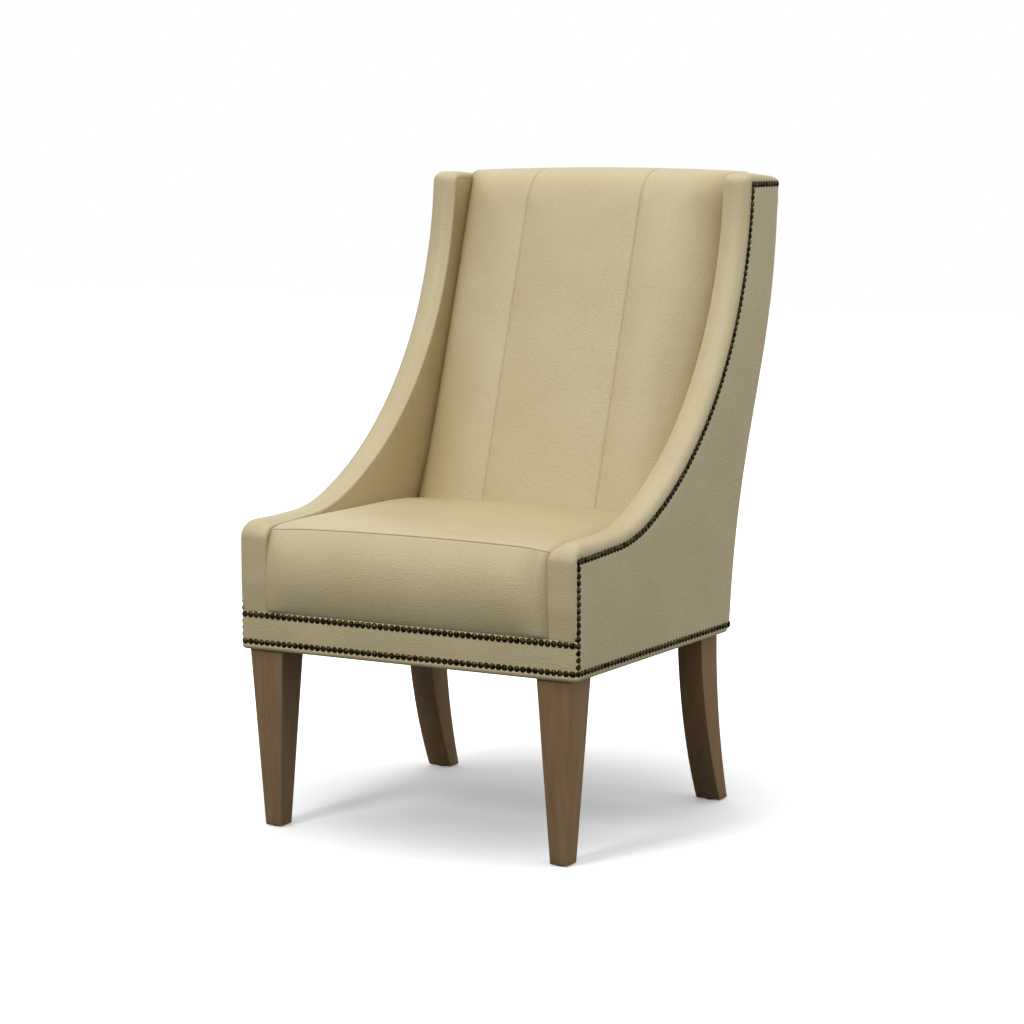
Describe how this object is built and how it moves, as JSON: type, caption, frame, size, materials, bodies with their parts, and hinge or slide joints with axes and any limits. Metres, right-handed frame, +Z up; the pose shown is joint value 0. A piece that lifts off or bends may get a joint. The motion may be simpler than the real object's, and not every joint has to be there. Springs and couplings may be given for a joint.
{
  "type": "leather dining chair",
  "caption": "Upholstered slope-arm dining chair: padded leather seat, winged back in sewn panels, nailhead trim, tapered front legs and sabre rear legs of stained wood.",
  "frame": {"origin": "on the floor, under the middle of the chair's bounding box", "axes": "+Z up, the sitter faces -Y, the sitter's left is +X"},
  "size_m": [0.643, 0.7556, 1.102],
  "materials": {
    "leg_wood": "satin grey-brown stain",
    "frame_wood": "unfinished hardwood and plywood",
    "cover_leather": "satin, fine pebble grain",
    "foam": "open-cell foam and wadding",
    "webbing": "woven jute",
    "nailhead_bronze": "dark antique bronze, domed",
    "bolt_steel": "zinc plated",
    "glide_nylon": "moulded",
    "dust_cloth": "black cambric"
  },
  "bodies": {
    "root": {"front_leg_left": "leg_wood", "front_leg_right": "leg_wood", "rear_leg_left": "leg_wood", "rear_leg_right": "leg_wood", "front_rail": "frame_wood", "rear_rail": "frame_wood", "side_rail_left": "frame_wood", "side_rail_right": "frame_wood", "corner_blocks": "frame_wood", "top_rail": "frame_wood", "lower_back_rail": "frame_wood", "arm_panel_left": "frame_wood", "arm_panel_right": "frame_wood", "arm_cover_left": "cover_leather", "arm_cover_right": "cover_leather", "outer_side_left": "cover_leather", "outer_side_right": "cover_leather", "outer_back": "cover_leather", "inside_back_left": "cover_leather", "inside_back_centre": "cover_leather", "inside_back_right": "cover_leather", "seat_cover": "cover_leather", "apron_band": "cover_leather", "seat_foam": "foam", "back_foam": "foam", "arm_pad_left": "foam", "arm_pad_right": "foam", "outer_back_padding": "foam", "apron_padding": "foam", "seat_webbing": "webbing", "back_webbing": "webbing", "front_nails": "nailhead_bronze", "side_nails_left": "nailhead_bronze", "side_nails_right": "nailhead_bronze", "back_nails": "nailhead_bronze", "leg_bolts": "bolt_steel", "foot_glides": "glide_nylon", "dust_cover": "dust_cloth"}
  },
  "joints": []
}
